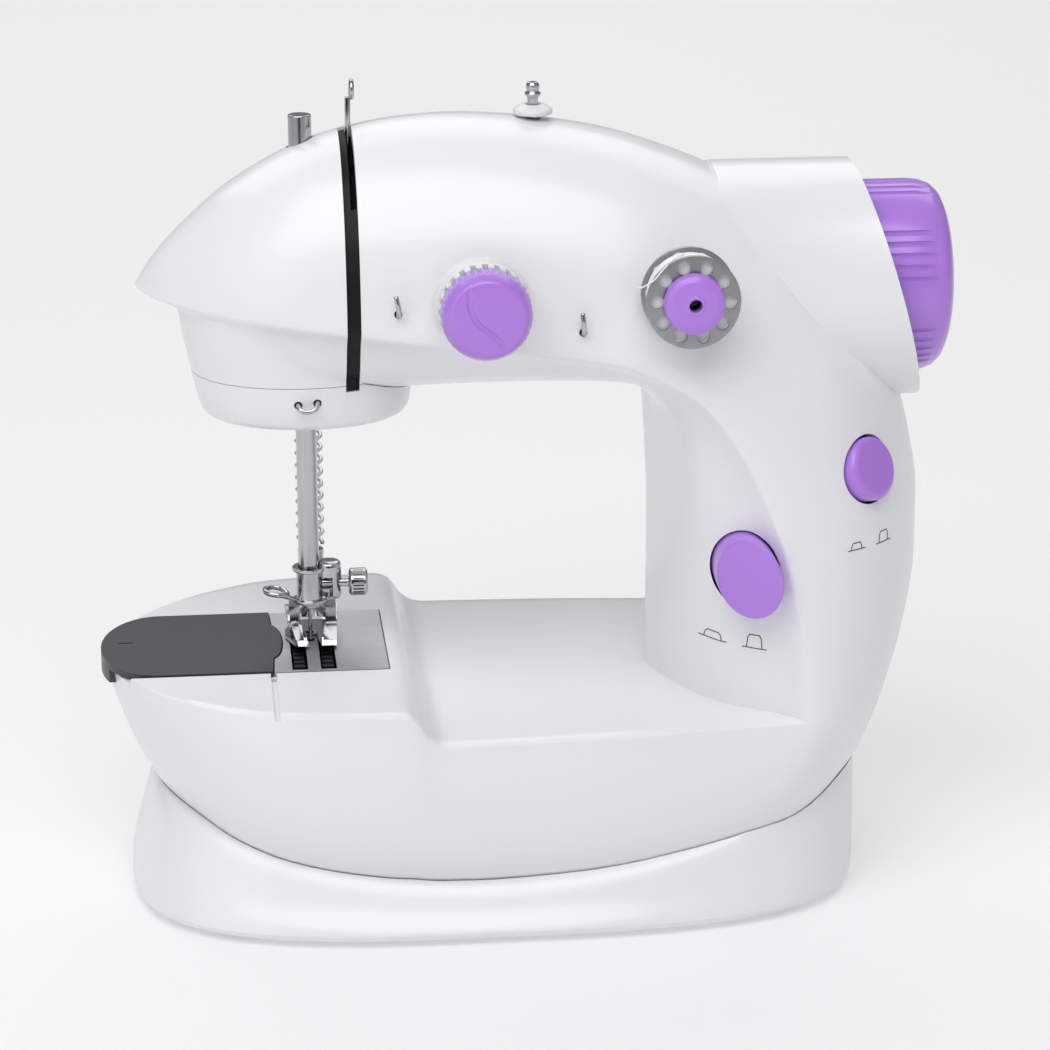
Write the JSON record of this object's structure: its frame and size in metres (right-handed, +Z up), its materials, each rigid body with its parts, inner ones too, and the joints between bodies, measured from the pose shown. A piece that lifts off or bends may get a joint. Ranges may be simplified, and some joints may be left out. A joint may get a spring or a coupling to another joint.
{
  "type": "mini portable sewing machine",
  "caption": "White and lilac electric lockstitch mini sewing machine with curved arm, oval base stand, turning hand wheel and moving needle, foot, buttons and dials.",
  "frame": {"origin": "centre of the overall box, on the plane the feet rest on", "axes": "+X along the arm towards the hand wheel, -Y towards the person sewing, +Z up"},
  "size_m": [0.1926, 0.104, 0.1853],
  "materials": {
    "white_abs": "glossy white injection-moulded ABS",
    "white_trim": "satin white ABS",
    "purple_abs": "satin lilac ABS",
    "black_rubber": "matte black",
    "black_plastic": "matte black",
    "belt_rubber": "matte toothed neoprene",
    "chrome_steel": "polished nickel-plated steel",
    "brushed_steel": "brushed steel",
    "dark_steel": "satin dark grey enamel",
    "zinc": "die-cast zinc",
    "nylon": "natural nylon",
    "grey_plastic": "matte grey",
    "cell_jacket": "plain dark wrapped steel can"
  },
  "bodies": {
    "machine": {"front_shell": "white_abs", "rear_shell": "white_abs", "base_stand": "white_abs", "head_cover": "white_trim", "rubber_foot_front_left": "black_rubber", "rubber_foot_front_right": "black_rubber", "rubber_foot_rear_left": "black_rubber", "rubber_foot_rear_right": "black_rubber", "dc_jack": "black_plastic", "pedal_jack": "black_plastic", "battery_tray": "grey_plastic", "aa_cell_1": "cell_jacket", "aa_cell_2": "cell_jacket", "aa_cell_3": "cell_jacket", "aa_cell_4": "cell_jacket", "motor": "brushed_steel", "drive_belt": "belt_rubber", "bobbin_case": "zinc", "needle_plate": "brushed_steel", "slot_liner": "black_plastic", "tension_collar": "white_trim", "tension_post": "brushed_steel", "bobbin_spindle": "brushed_steel", "thread_guide_left": "chrome_steel", "thread_guide_mid": "chrome_steel", "head_guide": "chrome_steel", "stud_base": "white_trim", "thread_stud": "chrome_steel", "power_switch": "black_plastic", "speed_switch": "black_plastic"},
    "wheel_body": {"hand_wheel": "purple_abs", "main_shaft": "brushed_steel", "crank_disc": "zinc", "wheel_gear": "nylon", "upper_pulley": "grey_plastic"},
    "motor_rotor": {"motor_pinion": "nylon"},
    "hook_body": {"lower_shaft": "brushed_steel", "lower_pulley": "grey_plastic", "rotary_hook": "chrome_steel"},
    "hook_bobbin": {"lower_bobbin": "brushed_steel"},
    "needle_bar_body": {"needle_bar": "chrome_steel", "bar_collar": "zinc", "needle": "chrome_steel", "needle_clamp": "chrome_steel"},
    "clamp_screw_body": {"clamp_screw": "chrome_steel"},
    "presser_body": {"presser_bar": "chrome_steel", "foot_shank": "chrome_steel", "presser_spring": "brushed_steel"},
    "foot_body": {"foot_sole": "chrome_steel"},
    "lifter_body": {"presser_lifter": "white_trim"},
    "take_up_body": {"take_up_lever": "chrome_steel"},
    "feed_body": {"feed_dog": "zinc"},
    "slide_plate_body": {"slide_plate": "dark_steel"},
    "tension_body": {"tension_dial": "purple_abs", "tension_disc": "white_trim"},
    "spool_body": {"spool_bobbin": "brushed_steel", "spool_cap": "purple_abs"},
    "power_button_body": {"power_button": "purple_abs"},
    "speed_button_body": {"speed_button": "purple_abs"},
    "battery_door_body": {"battery_door": "white_abs"}
  },
  "joints": [
    {"name": "hand_wheel_turn", "type": "hinge", "parent": "machine", "child": "wheel_body", "pos_m": [0.09, 0, 0.138], "axis": [1, 0, 0], "continuous": true},
    {"name": "motor_spin", "type": "hinge", "parent": "machine", "child": "motor_rotor", "pos_m": [0.07, 0, 0.1138], "axis": [1, 0, 0], "continuous": true},
    {"name": "hook_turn", "type": "hinge", "parent": "machine", "child": "hook_body", "pos_m": [0, 0, 0.0354], "axis": [1, 0, 0], "continuous": true},
    {"name": "bobbin_turn", "type": "hinge", "parent": "machine", "child": "hook_bobbin", "pos_m": [-0.064, 0, 0.0354], "axis": [1, 0, 0], "continuous": true},
    {"name": "needle_bar_travel", "type": "slide", "parent": "machine", "child": "needle_bar_body", "axis": [0, 0, 1], "range_m": [0, 0.024]},
    {"name": "clamp_screw_turn", "type": "hinge", "parent": "needle_bar_body", "child": "clamp_screw_body", "pos_m": [-0.038, 0.002, 0.068], "axis": [1, 0, 0], "range_deg": [0, 360]},
    {"name": "presser_travel", "type": "slide", "parent": "machine", "child": "presser_body", "axis": [0, 0, 1], "range_m": [0, 0.006], "stiffness_N_per_m": 150, "springref_m": -0.01, "deforming": ["presser_spring"]},
    {"name": "lifter_turn", "type": "hinge", "parent": "machine", "child": "lifter_body", "pos_m": [-0.048, 0.02, 0.1454], "axis": [1, 0, 0], "range_deg": [0, 45.01]},
    {"name": "foot_tilt", "type": "hinge", "parent": "presser_body", "child": "foot_body", "pos_m": [-0.0476, 0.0075, 0.0594], "axis": [1, 0, 0], "range_deg": [-4, 1.5]},
    {"name": "take_up_swing", "type": "hinge", "parent": "machine", "child": "take_up_body", "pos_m": [-0.0379, 0.0156, 0.1398], "axis": [1, 0, 0], "range_deg": [0, 20]},
    {"name": "feed_dog_travel", "type": "slide", "parent": "machine", "child": "feed_body", "axis": [0, 1, 0], "range_m": [-0.0015, 0.0015]},
    {"name": "slide_plate_travel", "type": "slide", "parent": "machine", "child": "slide_plate_body", "axis": [-1, 0, 0], "range_m": [0, 0.03]},
    {"name": "tension_turn", "type": "hinge", "parent": "machine", "child": "tension_body", "pos_m": [-0.0115, -0.04, 0.143], "axis": [0, -1, 0], "range_deg": [-135, 135]},
    {"name": "spool_turn", "type": "hinge", "parent": "machine", "child": "spool_body", "pos_m": [0.0324, -0.04, 0.1449], "axis": [0, -1, 0], "continuous": true},
    {"name": "power_button_press", "type": "slide", "parent": "machine", "child": "power_button_body", "axis": [-0.604, 0.7198, -0.342], "range_m": [0, 0.002], "stiffness_N_per_m": 600},
    {"name": "speed_button_press", "type": "slide", "parent": "machine", "child": "speed_button_body", "axis": [0, 1, 0], "range_m": [0, 0.004], "stiffness_N_per_m": 400},
    {"name": "battery_door_slide", "type": "slide", "parent": "machine", "child": "battery_door_body", "axis": [1, 0, 0], "range_m": [0, 0.012]}
  ],
  "couplings": [
    {"joint": "motor_spin", "follows": "hand_wheel_turn", "ratio": -4},
    {"joint": "hook_turn", "follows": "hand_wheel_turn", "ratio": 2},
    {"joint": "lifter_turn", "follows": "presser_travel", "rad_per_m": 130.9}
  ]
}
